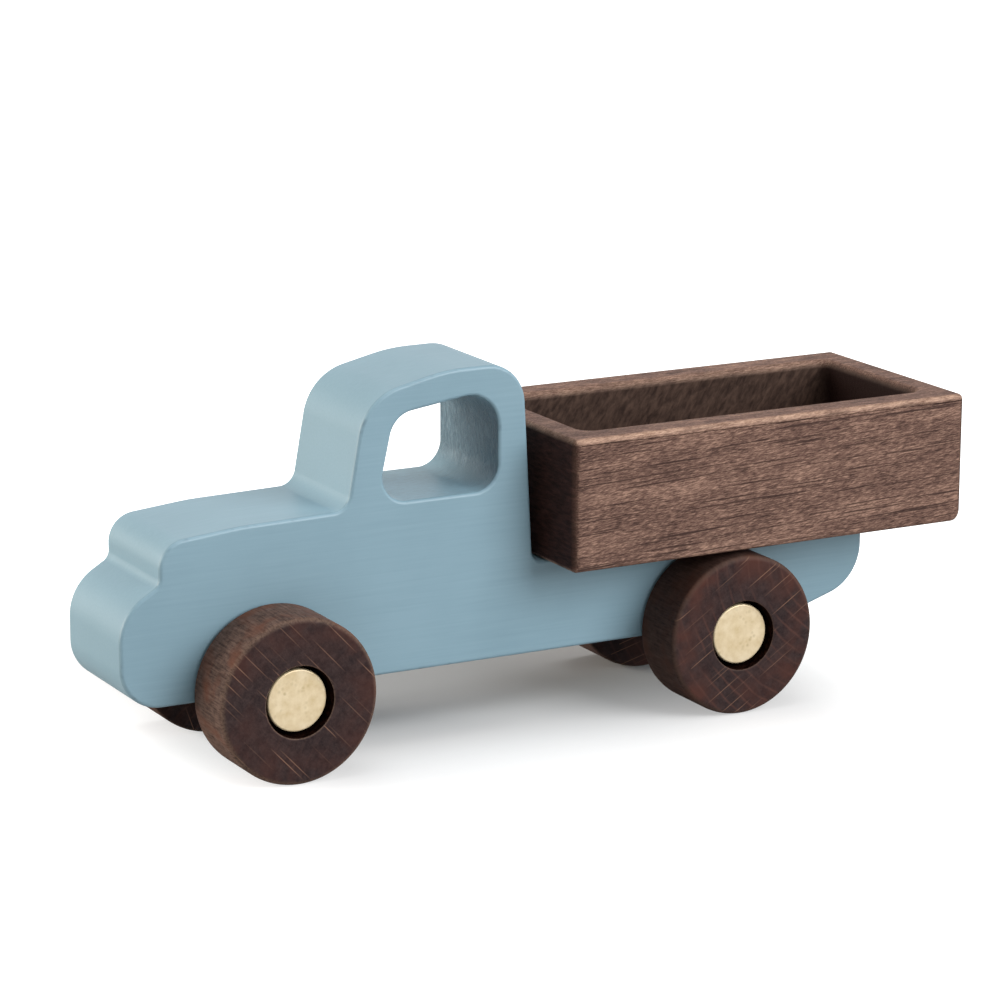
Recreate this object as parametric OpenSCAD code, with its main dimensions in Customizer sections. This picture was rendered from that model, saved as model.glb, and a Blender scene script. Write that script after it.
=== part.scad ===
// Wooden toy tipper truck: a plank body on four pegged wheels, with a hollowed
// load box that tips back on a small butt hinge. Millimetres, +X to the nose,
// +Y to the truck's left, +Z up. The origin is on the ground under the middle.

/* [Body plank] */
// Thickness of the plank
body_w = 27; // [22:0.5:32]
// Height of the hood above the lower edge
hood_h = 36.1; // [33:0.5:42]
// Height of the cab roof above the hood
roof_h = 27.2; // [24:0.5:34]
// How far the lower edge lies below the axles
sill_drop = 1.5; // [0.5:0.1:3]
// Length of the bumper ahead of the hood
bumper_len = 8.9; // [6:0.1:12]
// Height of the hood's front above the step
hood_step = 8.5; // [7:0.1:11]
// Height of the step above the bumper's corner
step_rise = 5.3; // [3:0.1:7]
// Fall of the hood from its crown to its nose
hood_fall = 1.65; // [0.5:0.05:3]
// Length of the hood's falling stretch
hood_run = 18; // [12:0.5:24]
// Fall of the hood from the windscreen to its crown
crown_fall = 0.45; // [0.2:0.05:1]
// Drop from the deck to the corner of the rear end
tail_drop = 14; // [12:0.5:16]
// Flat lower edge behind the rear axle's pad
tail_flat = 10.2; // [8:0.2:13]

/* [Cab] */
// Distance from the nose to the foot of the windscreen
cab_front = 50.9; // [46:0.5:56]
// Length of the cab at its foot
cab_len = 43.4; // [40:0.5:50]
// How far the windscreen leans back over its height
screen_lean = 4.1; // [2:0.1:7]
// How far the back wall leans forward over its height
back_lean = 2.4; // [0:0.1:4]
// Fall of the roof to the windscreen
roof_fall = 4.2; // [3:0.1:6]
// Distance from the windscreen's foot to the roof's crown
roof_run = 23; // [20:0.5:26]
// Thickness of the post ahead of the window
front_post = 6.8; // [5:0.1:9]
// Thickness of the post behind the window
rear_post = 8.3; // [6:0.1:10]
// Thickness of the roof over the window
roof_t = 5; // [4:0.1:7]
// Fall of the window's upper edge from its rear corner to its front one
window_fall = 3.4; // [1:0.1:4]
// Height of the window's sill above the hood
window_lift = 0.5; // [0:0.1:2]

/* [Roundings of the body] */
// Foot of the nose
nose_foot_r = 9; // [5:0.5:10]
// Front of the bumper
bumper_r = 11; // [8:0.5:13]
// Step up to the hood
step_r = 2.5; // [1.5:0.5:4]
// Nose of the hood
hood_r = 6; // [3:0.5:7]
// Crown of the hood
crown_r = 60; // [40:5:80]
// Foot of the windscreen
screen_foot_r = 3.8; // [2:0.2:6]
// Windscreen into the roof
screen_r = 12; // [9:0.5:14]
// Crown of the roof
roof_r = 40; // [30:2:60]
// Roof into the back wall
back_r = 9; // [6:0.5:10]
// Rear end
tail_r = 11; // [8:0.5:12]
// Rear of the lower edge
tail_foot_r = 25; // [15:1:30]
// Lower corners of the window
window_r = 5.5; // [4:0.5:7]
// Upper front corner of the window
window_front_r = 6; // [4:0.5:7]
// Upper rear corner of the window
window_rear_r = 7; // [4:0.5:8]

/* [Axle pads] */
// Depth of wood below the axles, where the wheels hide it
pad_depth = 6.5; // [5:0.1:8]
// Half the length of a pad at the lower edge
pad_foot = 10; // [9:0.5:13]
// Half the length of a pad at its underside
pad_toe = 5.5; // [4.5:0.5:7]
// Rounding of a pad's lower corners
pad_round = 3.5; // [1.5:0.5:4]
// Rounding of the hollow beside a pad
pad_fillet = 3; // [1:0.5:4]

/* [Wheels] */
// Diameter of a wheel
wheel_d = 35; // [31:0.5:40]
// Width of a wheel
wheel_w = 13.5; // [11:0.5:17]
// Distance between the axles
wheelbase = 105; // [98:0.5:112]
// Distance from the nose to the front axle
front_axle = 33.1; // [30:0.5:38]
// Side play between a wheel and the body
wheel_gap = 0.5; // [0.3:0.1:0.8]
// Rounding of a wheel's outer edge
wheel_edge = 1.2; // [0.8:0.1:3]
// Rounding of a wheel's inner edge
wheel_back_edge = 0.6; // [0.4:0.1:2]
// Softened mouth of a wheel's recess
mouth_bevel = 0.4; // [0.2:0.1:0.8]

/* [Axle pegs] */
// Diameter of a peg's shank
shank_d = 5.6; // [4.5:0.1:6.4]
// Gap round the shank in the wheel's bore
shank_play = 0.1; // [0.04:0.01:0.1]
// Length of shank glued in the body
shank_grip = 11.5; // [8:0.5:12.5]
// Diameter of a peg's head
head_d = 13.2; // [11:0.1:14]
// Thickness of a peg's head
head_t = 3; // [2:0.1:4]
// Softened edge of a peg's head
head_edge = 0.5; // [0.2:0.1:1]
// Gap round the head in the wheel's recess
head_ring = 0.9; // [0.5:0.1:1.5]
// Gap behind the head
head_play = 0.3; // [0.2:0.1:0.6]
// Depth of the head's face below the wheel's face
head_sunk = 1.5; // [0.8:0.1:2.5]

/* [Load box] */
// Length of the box
box_len = 98; // [92:0.5:104]
// Width of the box
box_w = 53; // [46:0.5:60]
// Height of the box
box_h = 28.5; // [24:0.5:36]
// How far the box reaches past the body's rear end
tail_overhang = 17.5; // [14:0.5:22]
// Thickness of the side walls
side_wall = 8; // [6:0.5:10]
// Thickness of the end walls
end_wall = 7; // [5:0.5:9]
// Thickness of the floor
floor_t = 8; // [7:0.5:11]
// Radius of the hollow's upright corners
pocket_r = 2.5; // [2:0.5:8]
// Rounding of the rear lower edge
heel_r = 2.5; // [1:0.5:4]
// Rounding of the front lower edge
toe_r = 1; // [0.5:0.1:2]
// Gap between the cab's foot and the box
cab_gap = 2.5; // [2:0.1:5]
// Gap between the wheels' tops and the box
wheel_room = 1; // [0.6:0.1:3]

/* [Tipping hinge] */
// Length of the hinge along its pin
hinge_len = 20; // [16:0.5:24]
// Width of a leaf from the pin to its edge
leaf_w = 6; // [5.8:0.1:7]
// Thickness of a leaf
leaf_t = 0.8; // [0.6:0.05:1]
// Diameter of the knuckles
knuckle_d = 4; // [3.4:0.1:4.4]
// Length of the middle knuckle
knuckle_len = 8; // [6:0.5:10]
// Side gap between knuckles
knuckle_gap = 0.2; // [0.1:0.05:0.4]
// Diameter of the hinge pin
pin_d = 2; // [1.5:0.1:2.4]
// Gap round the pin in the middle knuckle
pin_play = 0.05; // [0.02:0.01:0.1]
// Gap between the knuckles and the wood, and beside the leaves
hinge_air = 0.3; // [0.2:0.05:0.5]

/* [Hinge screws] */
// Diameter of a screw's shank
screw_d = 2; // [1.6:0.1:2.4]
// Diameter of a screw's round head
screw_head_d = 3.8; // [3.2:0.1:4]
// Height of a screw's round head
screw_head_h = 1.1; // [0.8:0.1:1.2]
// Distance from the pin to the screws
screw_reach = 3.8; // [3.6:0.1:4]
// Distance between the two screws of a leaf
screw_pitch = 13; // [10:0.5:15]
// Length of the screws in the body
body_screw_len = 8; // [5:0.5:12]
// Length of the screws in the box floor
box_screw_len = 5.5; // [4:0.5:5.5]
// Width of a screw's slot
slot_w = 0.6; // [0.4:0.1:0.8]
// Depth of a screw's slot
slot_depth = 0.5; // [0.3:0.1:0.6]

/* [Hidden] */

left = 1;
right = -1;
eps = 0.01;          // overshoot of a cut past a face
arc_step = 9;        // degrees in one straight stretch of a rounded corner
$fn = 96;

// Heights above the ground
axle_z = wheel_d / 2;
sill_z = axle_z - sill_drop;
pad_z = axle_z - pad_depth;
deck_z = wheel_d + wheel_room;
hood_z = sill_z + hood_h;
crown_z = hood_z - crown_fall;
hood_nose_z = crown_z - hood_fall;
step_z = hood_nose_z - hood_step;
bumper_z = step_z - step_rise;
roof_z = hood_z + roof_h;
screen_z = roof_z - roof_fall;
tail_z = deck_z - tail_drop;
box_z = deck_z;
box_top_z = box_z + box_h;

// Stations behind the nose
cab_back = cab_front + cab_len;
rear_axle = front_axle + wheelbase;
box_front = cab_back + cab_gap;
box_rear = box_front + box_len;
body_rear = box_rear - tail_overhang;
tail_foot = rear_axle + pad_foot + tail_flat;

// Places in the part's own frame
nose_x = box_rear / 2;
function at(station) = nose_x - station;

// Wheel and peg sizes, outwards from the body's side
wheel_in_y = body_w / 2 + wheel_gap;
wheel_out_y = wheel_in_y + wheel_w;
head_out_y = wheel_out_y - head_sunk;
recess_depth = head_sunk + head_t + head_play;
recess_r = head_d / 2 + head_ring;
bore_r = shank_d / 2 + shank_play;

// Hinge: its axis lies behind the rear end and under the box
knuckle_r = knuckle_d / 2;
leaf_off = knuckle_r + hinge_air;
hinge_x = at(body_rear) - leaf_off;
hinge_z = box_z - leaf_off;
end_knuckle = (hinge_len - knuckle_len) / 2 - knuckle_gap;
screw_ys = [-1, 1] * screw_pitch / 2;

// Colours of the finishes
paint_blue = [0.55, 0.66, 0.71];
stain_brown = [0.42, 0.31, 0.26];
stain_dark = [0.27, 0.19, 0.17];
paint_gold = [0.87, 0.80, 0.62];
brass = [0.78, 0.64, 0.33];

// ---- Rounded outlines ---------------------------------------------------

function unit(v) = v / norm(v);

// Points of one corner b between its neighbours a and c, rounded to radius r
function corner_arc(a, b, c, r) =
    r == 0 ? [b] :
    let (u = unit(a - b), v = unit(c - b), half = acos(u * v) / 2,
         centre = b + unit(u + v) * r / sin(half),
         start = b + u * r / tan(half) - centre,
         stop = b + v * r / tan(half) - centre,
         from = atan2(start.y, start.x),
         sweep = (atan2(stop.y, stop.x) - from + 540) % 360 - 180,
         steps = max(2, ceil(abs(sweep) / arc_step)))
    [for (k = [0 : steps])
        centre + r * [cos(from + sweep * k / steps), sin(from + sweep * k / steps)]];

// A closed outline from corners given as [x, y, radius]
function rounded(corners) =
    let (n = len(corners), flat = [for (c = corners) [c.x, c.y]])
    [for (i = [0 : n - 1])
        each corner_arc(flat[(i + n - 1) % n], flat[i], flat[(i + 1) % n], corners[i][2])];

// Stands a side view up: its stations run back from the nose
module side_view(width) {
    translate([nose_x, width / 2, 0]) rotate([90, 0, 0]) mirror([1, 0, 0])
        linear_extrude(width) children();
}

// ---- Body: corners in the side view as [station, height, radius] ----------

// Pad of wood that carries an axle below the lower edge
function pad_corners(station) = [
    [station + pad_foot, sill_z, pad_fillet],
    [station + pad_toe, pad_z, pad_round],
    [station - pad_toe, pad_z, pad_round],
    [station - pad_foot, sill_z, pad_fillet]
];

body_corners = [
    [0, sill_z, nose_foot_r],
    [0, bumper_z, bumper_r],
    [bumper_len, step_z, step_r],
    [bumper_len, hood_nose_z, hood_r],
    [bumper_len + hood_run, crown_z, crown_r],
    [cab_front, hood_z, screen_foot_r],
    [cab_front + screen_lean, screen_z, screen_r],
    [cab_front + roof_run, roof_z, roof_r],
    [cab_back - back_lean, roof_z, back_r],
    [cab_back, deck_z, cab_gap - hinge_air],
    [body_rear, deck_z, 0],
    [body_rear, tail_z, tail_r],
    [tail_foot, sill_z, tail_foot_r],
    each pad_corners(rear_axle),
    each pad_corners(front_axle)
];

// The window follows the posts and the roof, and its sill lies just above the hood
window_corners = [
    [cab_front + front_post, hood_z + window_lift, window_r],
    [cab_front + screen_lean + front_post, roof_z - roof_t - window_fall, window_front_r],
    [cab_back - rear_post, roof_z - roof_t, window_rear_r],
    [cab_back - rear_post, hood_z + window_lift, window_r]
];

module truck_body() {
    color(paint_blue) difference() {
        side_view(body_w) difference() {
            polygon(rounded(body_corners));
            polygon(rounded(window_corners));
        }
        for (station = [front_axle, rear_axle], side = [left, right])
            on_axle(station, side, body_w / 2 - shank_grip)
                cylinder(r = shank_d / 2, h = shank_grip + eps);
        for (y = screw_ys)
            translate([at(body_rear) - eps, y, hinge_z - screw_reach])
                rotate([0, 90, 0]) cylinder(r = screw_d / 2, h = body_screw_len + eps);
    }
}

// ---- Load box --------------------------------------------------------------

module tipper_box() {
    pocket_x = box_len / 2 - end_wall;
    pocket_y = box_w / 2 - side_wall;
    color(stain_brown) difference() {
        side_view(box_w) polygon(rounded([
            [box_front, box_z, toe_r],
            [box_front, box_top_z, 0],
            [box_rear, box_top_z, 0],
            [box_rear, box_z, heel_r]]));
        translate([at((box_front + box_rear) / 2), 0, box_z + floor_t])
            linear_extrude(box_h) polygon(rounded([
                [pocket_x, pocket_y, pocket_r],
                [-pocket_x, pocket_y, pocket_r],
                [-pocket_x, -pocket_y, pocket_r],
                [pocket_x, -pocket_y, pocket_r]]));
        for (y = screw_ys)
            translate([hinge_x - screw_reach, y, box_z - eps])
                cylinder(r = screw_d / 2, h = box_screw_len + eps);
    }
}

// ---- Wheels and pegs --------------------------------------------------------

// Lays a turned piece on an axle: its base at |y|, its top towards the side
module on_axle(station, side, y) {
    translate([at(station), side * y, axle_z]) rotate([-side * 90, 0, 0]) children();
}

module wheel(station, side) {
    color(stain_dark) on_axle(station, side, wheel_in_y) rotate_extrude() polygon(rounded([
        [bore_r, 0, 0],
        [wheel_d / 2, 0, wheel_back_edge],
        [wheel_d / 2, wheel_w, wheel_edge],
        [recess_r + mouth_bevel, wheel_w, 0],
        [recess_r, wheel_w - mouth_bevel, 0],
        [recess_r, wheel_w - recess_depth, 0],
        [bore_r, wheel_w - recess_depth, 0]]));
}

module peg(station, side) {
    root_y = body_w / 2 - shank_grip;
    head_base = head_out_y - head_t - root_y;
    color(paint_gold) on_axle(station, side, root_y) rotate_extrude() polygon(rounded([
        [0, 0, 0],
        [shank_d / 2, 0, 0],
        [shank_d / 2, head_base, 0],
        [head_d / 2, head_base, 0],
        [head_d / 2, head_base + head_t, head_edge],
        [0, head_base + head_t, 0]]));
}

// ---- Hinge --------------------------------------------------------------------

// A rod along Y on the hinge's axis, from y0
module rod(r, y0, length) {
    translate([hinge_x, y0 + length, hinge_z]) rotate([90, 0, 0]) cylinder(r = r, h = length);
}

// Leaf on the body's rear end, with the two outer knuckles
module hinge_body_leaf() {
    notch_w = knuckle_len + 2 * knuckle_gap;
    color(brass) difference() {
        union() {
            translate([at(body_rear) - leaf_t, -hinge_len / 2, hinge_z - leaf_w])
                cube([leaf_t, hinge_len, leaf_w]);
            for (y0 = [-hinge_len / 2, hinge_len / 2 - end_knuckle]) {
                rod(knuckle_r, y0, end_knuckle);
                translate([hinge_x, y0, hinge_z - knuckle_r])
                    cube([leaf_off, end_knuckle, knuckle_r]);
            }
        }
        translate([hinge_x, -notch_w / 2, hinge_z - leaf_off])
            cube([leaf_off + eps, notch_w, leaf_off + eps]);
        rod(pin_d / 2, -hinge_len / 2 - eps, hinge_len + 2 * eps);
        for (y = screw_ys)
            translate([at(body_rear) - leaf_t - eps, y, hinge_z - screw_reach])
                rotate([0, 90, 0]) cylinder(r = screw_d / 2, h = leaf_t + 2 * eps);
    }
}

// Leaf under the box's overhang, with the middle knuckle
module hinge_box_leaf() {
    notch_w = end_knuckle + knuckle_gap;
    color(brass) difference() {
        union() {
            translate([hinge_x - leaf_w, -hinge_len / 2, box_z - leaf_t])
                cube([leaf_w, hinge_len, leaf_t]);
            rod(knuckle_r, -knuckle_len / 2, knuckle_len);
            translate([hinge_x - knuckle_r, -knuckle_len / 2, hinge_z])
                cube([knuckle_r, knuckle_len, leaf_off]);
        }
        for (y0 = [-hinge_len / 2 - eps, knuckle_len / 2])
            translate([hinge_x - leaf_off, y0, box_z - leaf_t - eps])
                cube([leaf_off + eps, notch_w + eps, leaf_t + 2 * eps]);
        rod(pin_d / 2 + pin_play, -knuckle_len / 2 - eps, knuckle_len + 2 * eps);
        for (y = screw_ys)
            translate([hinge_x - screw_reach, y, box_z - leaf_t - eps])
                cylinder(r = screw_d / 2, h = leaf_t + 2 * eps);
    }
}

module hinge_pin() {
    color(brass) rod(pin_d / 2, -hinge_len / 2, hinge_len);
}

// A slotted round-head screw along +Z, its head's seat at z = 0
module round_screw(length) {
    dome_r = (pow(screw_head_d / 2, 2) + pow(screw_head_h, 2)) / (2 * screw_head_h);
    difference() {
        union() {
            cylinder(r = screw_d / 2, h = length);
            intersection() {
                translate([0, 0, dome_r - screw_head_h]) sphere(r = dome_r);
                translate([0, 0, -screw_head_h]) cylinder(r = screw_head_d / 2, h = screw_head_h);
            }
        }
        translate([-screw_head_d / 2, -slot_w / 2, -screw_head_h - eps])
            cube([screw_head_d, slot_w, slot_depth + eps]);
    }
}

module hinge_body_screws() {
    color(brass) for (y = screw_ys)
        translate([at(body_rear) - leaf_t, y, hinge_z - screw_reach])
            rotate([0, 90, 0]) round_screw(leaf_t + body_screw_len);
}

module hinge_box_screws() {
    color(brass) for (y = screw_ys)
        translate([hinge_x - screw_reach, y, box_z - leaf_t])
            round_screw(leaf_t + box_screw_len);
}

truck_body();
tipper_box();
wheel(front_axle, left);  // wheel_front_left
wheel(front_axle, right);  // wheel_front_right
wheel(rear_axle, left);  // wheel_rear_left
wheel(rear_axle, right);  // wheel_rear_right
peg(front_axle, left);  // peg_front_left
peg(front_axle, right);  // peg_front_right
peg(rear_axle, left);  // peg_rear_left
peg(rear_axle, right);  // peg_rear_right
hinge_body_leaf();
hinge_box_leaf();
hinge_pin();
hinge_body_screws();
hinge_box_screws();
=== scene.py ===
"""Looks of the wooden toy dump truck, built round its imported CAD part.

Everything is in metres in the part's own frame: +X to the nose, +Y to the
truck's left, +Z up, with the ground at Z = 0. Sizes are written in
millimetres and turned to metres by MM.
"""

import logging
import math
from dataclasses import dataclass, field
from enum import Enum
from functools import partial
from typing import Any, Callable, Iterable, Sequence

import bpy
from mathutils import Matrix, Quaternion, Vector
from mathutils.geometry import tessellate_polygon


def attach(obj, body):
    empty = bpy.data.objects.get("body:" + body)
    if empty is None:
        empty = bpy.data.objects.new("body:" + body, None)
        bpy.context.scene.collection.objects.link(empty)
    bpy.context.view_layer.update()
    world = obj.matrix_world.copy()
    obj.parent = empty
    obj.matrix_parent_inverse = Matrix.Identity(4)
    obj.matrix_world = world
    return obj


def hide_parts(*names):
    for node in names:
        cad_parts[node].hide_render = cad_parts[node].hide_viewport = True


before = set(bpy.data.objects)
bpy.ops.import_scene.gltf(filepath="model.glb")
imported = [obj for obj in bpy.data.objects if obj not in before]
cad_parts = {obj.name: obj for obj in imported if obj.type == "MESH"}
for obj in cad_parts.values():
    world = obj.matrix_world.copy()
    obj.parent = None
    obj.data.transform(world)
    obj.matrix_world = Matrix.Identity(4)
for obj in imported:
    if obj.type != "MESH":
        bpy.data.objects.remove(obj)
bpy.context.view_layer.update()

MM = 0.001
QUARTER_TURN = math.pi / 2
Span = tuple[float, float]
Sizes = tuple[float, float, float]
log = logging.getLogger("toy_truck")


class Side(Enum):
    """Which side of the truck a wheel or peg is on; the value is the sign of its Y."""

    LEFT = 1
    RIGHT = -1


class Axle(Enum):
    """Which axle a wheel or peg is on; the value is its name in the part."""

    FRONT = "front"
    REAR = "rear"


# ---- Shader helpers ------------------------------------------------------------------

AddNode = Callable[..., bpy.types.Node]
Feed = bpy.types.Node | bpy.types.NodeSocket


def linear(code: str) -> tuple[float, float, float, float]:
    """Turns an sRGB hex colour to the linear values that Blender works in.

    Args:
        code: the colour, such as "#93b1c0".

    Returns:
        Red, green, blue and an alpha of 1.
    """
    parts = [int(code[i : i + 2], 16) / 255 for i in (1, 3, 5)]
    curve = [p / 12.92 if p <= 0.04045 else ((p + 0.055) / 1.055) ** 2.4 for p in parts]
    return curve[0], curve[1], curve[2], 1.0


def cell(along_x: float, along_y: float, along_z: float, *turn_deg: float) -> dict[str, Any]:
    """Gives the Mapping settings that make one cell of a pattern as long as these sizes.

    Args:
        along_x: length of a cell along X, in millimetres.
        along_y: length of a cell along Y, in millimetres.
        along_z: length of a cell along Z, in millimetres.
        *turn_deg: turns of the pattern about X, Y and Z, if it is turned.

    Returns:
        The settings.
    """
    return {
        "vector_type": "TEXTURE",
        "Rotation": tuple(math.radians(angle) for angle in turn_deg or (0.0, 0.0, 0.0)),
        "Scale": (along_x * MM, along_y * MM, along_z * MM),
    }


def per_metre(size_mm: float) -> float:
    """Gives the scale at which a pattern's cells are size_mm millimetres wide."""
    return 1 / (size_mm * MM)


def add_node(tree: bpy.types.NodeTree, kind: str, *inputs: Any, **settings: Any) -> bpy.types.Node:
    """Adds one node with its settings and links.

    A node given to an input feeds it from its first output in use, and a hex colour
    is turned to linear.

    Args:
        tree: the material's or world's node tree.
        kind: the node's type, without Blender's prefix for shader nodes.
        *inputs: what goes into the first inputs, in their order.
        **settings: the node's own properties, in lower case, and what goes into other
            inputs, by their names with _ for each space.

    Returns:
        The new node.
    """
    made = tree.nodes.new(f"ShaderNode{kind}")
    for name in [name for name in settings if name.islower()]:
        setattr(made, name, settings.pop(name))
    in_use = {socket.name: socket for socket in made.inputs if socket.enabled}
    named = ((in_use[name.replace("_", " ")], given) for name, given in settings.items())
    for socket, given in (*zip(made.inputs, inputs), *named):
        if isinstance(given, bpy.types.Node):
            given = next(output for output in given.outputs if output.enabled)
        if isinstance(given, bpy.types.NodeSocket):
            tree.links.new(given, socket)
        else:
            socket.default_value = linear(given) if isinstance(given, str) else given
    return made


def new_material(
    name: str, *marks: str
) -> tuple[bpy.types.Material, AddNode, *tuple[bpy.types.NodeSocket, ...]]:
    """Makes an empty node material.

    Args:
        name: the material's name.
        *marks: the marks of the mesh that the finish follows.

    Returns:
        The material, add_node bound to its tree, its object's coordinates, and each
        mark's share.
    """
    made = bpy.data.materials.new(name)
    made.use_nodes = True
    made.node_tree.nodes.clear()
    add = partial(add_node, made.node_tree)
    place = add("TexCoord").outputs["Object"]
    shares = (add("Attribute", attribute_name=mark).outputs["Fac"] for mark in marks)
    return made, add, place, *shares


def tinted(add: AddNode, colour: Feed | str, *tints: tuple[Feed | float | str, ...]) -> Feed:
    """Lays tints over a colour, one after another.

    Args:
        add: adds a node to the material.
        colour: the colour underneath.
        *tints: each tint, and the shares whose product says how much of it shows.

    Returns:
        The colour on top.
    """
    for tint, share, *others in tints:
        for other in others:
            share = add("Math", share, other, operation="MULTIPLY")
        colour = add("Mix", share, data_type="RGBA", A=colour, B=tint)
    return colour


def close_surface(
    add: AddNode, colour: Feed, *reliefs: tuple[Feed, float, float], **gloss: float
) -> None:
    """Ends a finish with its relief, its shader and the output.

    Args:
        add: adds a node to the material.
        colour: the finish's colour.
        *reliefs: each relief's height, depth in millimetres and strength, in the order
            that they are laid on each other.
        **gloss: constants of the shader.
    """
    normal: dict[str, Feed] = {}
    for height, depth_mm, strength in reliefs:
        bump = add("Bump", Height=height, Distance=depth_mm * MM, Strength=strength, **normal)
        normal = {"Normal": bump}
    shader = add("BsdfPrincipled", Base_Color=colour, **normal, **gloss)
    add("OutputMaterial", Surface=shader)


# ---- Finishes ------------------------------------------------------------------------
#
# A span is the part of a noise or distance over which something comes in, a reach the
# part of a cell over which it ends, and a relief its depth in millimetres with the
# strength of its bump.


@dataclass(frozen=True)
class ChalkPaint:
    """Satin chalk paint on planed beech, brushed on and rubbed down.

    The brush leaves faint streaks along the plank. The arrises are rubbed a little
    thin and painted a touch paler as a highlight, with grey smudges where they were
    handled and a thin grey line along each. The window's rough-cut end grain drinks
    the coat and is painted darker still as shade, its raised fibres show as ripples,
    and its sill is painted paler as a sheen.
    """

    name: str = "chalk_paint_on_beech"
    coat: str = "#84a2b0"
    thin_coat: str = "#7b99a7"
    # The cut walls' darker tint: end grain soaked with paint, and painted shade.
    soaked_and_shaded: str = "#567180"
    # The sill's paler tint: a painted sheen.
    pooled: str = "#96b8c7"
    # The arrises' paler tint: rubbed thin, and a painted highlight.
    rub_and_highlight: str = "#87a5b3"
    smudge: str = "#5d7480"
    roughness: float = 0.42
    streak_mm: Span = (24.0, 0.5)
    streak_weight: float = 0.7
    streak_relief: Span = (0.015, 0.6)
    cloud_mm: float = 28.0
    thin_span: Span = (0.60, 1.10)
    ripple_mm: Sizes = (4.0, 0.75, 3.4)
    ripple_lean_deg: float = 14.0
    ripple_relief: Span = (0.4, 1.0)
    soak_span: Span = (0.36, 0.6)
    soak_least: float = 0.45
    rub_mm: float = 9.0
    rub_span: Span = (0.3, 0.7)
    rub_most: float = 0.3
    smudge_mm: float = 3.4
    smudge_span: Span = (0.56, 0.72)
    speck_cell_mm: float = 11.0
    speck_reach: Span = (0.020, 0.034)
    speck_strength: float = 0.8
    speckless_share: float = 0.6
    mark_strength: float = 0.6

    def build(self) -> bpy.types.Material:
        """Makes the material.

        Returns:
            The painted finish.
        """
        marks = ("rough", "pooled", "arris", "worn")
        made, add, place, rough, sill, arris, worn = new_material(self.name, *marks)

        # Brush streaks run along the plank, over slow clouds of thinner coat.
        length, width = self.streak_mm
        streak_place = add("Mapping", place, **cell(length, width, width))
        streak = add("TexNoise", streak_place, Scale=1.0, Detail=4.0, Roughness=0.6)
        cloud = add("TexNoise", place, Scale=per_metre(self.cloud_mm), Detail=3.0)
        uneven = add("Math", streak, self.streak_weight, cloud, operation="MULTIPLY_ADD")
        thin = add("MapRange", uneven, *self.thin_span)

        # Rough-cut end grain: the coat soaks in along wavy ripples of raised fibres, and the
        # cut walls are painted darker still as painted shade. On the sill a paler tint along
        # them is a painted sheen. The arrises are rubbed paler, partly as a painted highlight.
        lean = (self.ripple_lean_deg, 0.0, 0.0)
        ripple_place = add("Mapping", place, **cell(*self.ripple_mm, *lean))
        ripple = add(
            "TexNoise", ripple_place, Scale=1.0, Detail=3.0, Roughness=0.6, Distortion=2.2
        )
        soak = add("MapRange", ripple, *self.soak_span, self.soak_least, 1.0)
        rub_noise = add("TexNoise", place, Scale=per_metre(self.rub_mm), Detail=3.0)
        rub = add("MapRange", rub_noise, *self.rub_span, 0.0, self.rub_most)
        colour = tinted(
            add,
            self.coat,
            (self.thin_coat, thin),
            (self.soaked_and_shaded, rough, soak),
            (self.pooled, sill, soak),
            (self.rub_and_highlight, arris, rub),
        )

        # Grey marks: smudges on the arrises, a thin grey line along each, and specks of
        # dust caught in the coat, one in a few cells.
        smudge_noise = add("TexNoise", place, Scale=per_metre(self.smudge_mm), Detail=2.0)
        smudge_spot = add("MapRange", smudge_noise, *self.smudge_span)
        speck = add("TexVoronoi", place, Scale=per_metre(self.speck_cell_mm))
        speck_reach = (*self.speck_reach, self.speck_strength, 0.0)
        speck_dot = add("MapRange", speck.outputs["Distance"], *speck_reach)
        speck_draw = add("SeparateColor", speck.outputs["Color"])
        speck_kept = add("Math", speck_draw, self.speckless_share, operation="GREATER_THAN")
        marked: Feed | float = 0.0
        for where, spread in ((arris, smudge_spot), (worn, rub_noise), (speck_dot, speck_kept)):
            share = add("Math", where, spread, operation="MULTIPLY")
            marked = add("Math", share, marked, operation="MAXIMUM")
        colour = tinted(add, colour, (self.smudge, marked, self.mark_strength))

        ripple_height = add("Math", ripple, rough, operation="MULTIPLY")
        reliefs = ((streak, *self.streak_relief), (ripple_height, *self.ripple_relief))
        close_surface(add, colour, *reliefs, Roughness=self.roughness, IOR=1.5)
        return made


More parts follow.
